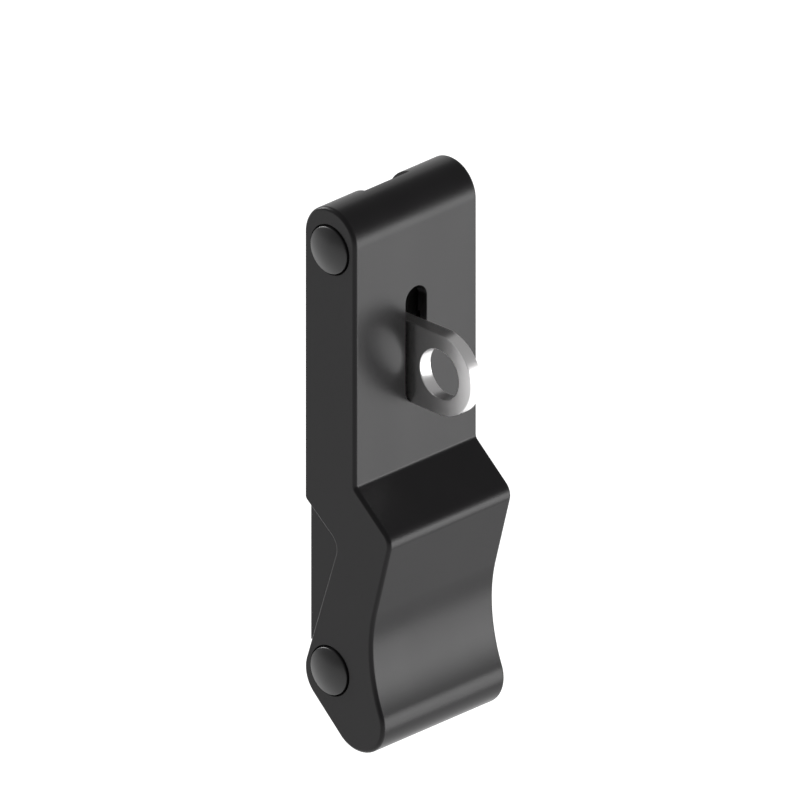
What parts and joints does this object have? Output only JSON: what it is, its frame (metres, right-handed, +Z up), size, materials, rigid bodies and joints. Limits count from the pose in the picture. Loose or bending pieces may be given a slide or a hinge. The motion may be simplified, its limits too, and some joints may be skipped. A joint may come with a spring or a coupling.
{
  "type": "rubber draw latch",
  "caption": "Upright over-centre draw latch: a waisted lever on a screwed base, a rubber draw link behind it and a padlock staple standing through the lever's slot.",
  "frame": {"origin": "the middle of the two mounting screw holes, on the back plane", "axes": "+X across the width, -Y outwards from the mounting plane, +Z up towards the link pin"},
  "size_m": [0.031, 0.0264, 0.098],
  "materials": {
    "lever_plastic": "fine-grained black, satin",
    "base_plastic": "fine-grained black, satin",
    "pin_steel": "black coated steel, satin",
    "steel": "satin stainless",
    "link_rubber": "moulded black rubber",
    "bumper_rubber": "moulded black rubber",
    "bush_plastic": "natural nylon"
  },
  "bodies": {
    "base_body": {"base": "base_plastic", "staple_foot": "steel", "padlock_staple": "steel", "staple_rivets": "steel", "pivot_pin_left": "pin_steel", "pivot_pin_right": "pin_steel", "bumper_left": "bumper_rubber", "bumper_right": "bumper_rubber"},
    "lever_body": {"lever": "lever_plastic", "pivot_bush_left": "bush_plastic", "pivot_bush_right": "bush_plastic", "link_pin": "pin_steel", "link_pin_cap": "pin_steel"},
    "link_body": {"draw_link": "link_rubber", "link_eye_sleeve": "steel", "link_hook": "steel", "hook_rivets": "steel"}
  },
  "joints": [
    {"name": "lever_swing", "type": "hinge", "parent": "base_body", "child": "lever_body", "pos_m": [0, -0.00677, -0.0475], "axis": [1, 0, 0], "range_deg": [0, 45]},
    {"name": "link_swing", "type": "hinge", "parent": "lever_body", "child": "link_body", "pos_m": [0, -0.00677, 0.03], "axis": [1, 0, 0], "range_deg": [-4.8, 0]}
  ],
  "couplings": [
    {"joint": "link_swing", "follows": "lever_swing", "ratio": -0.1066}
  ]
}
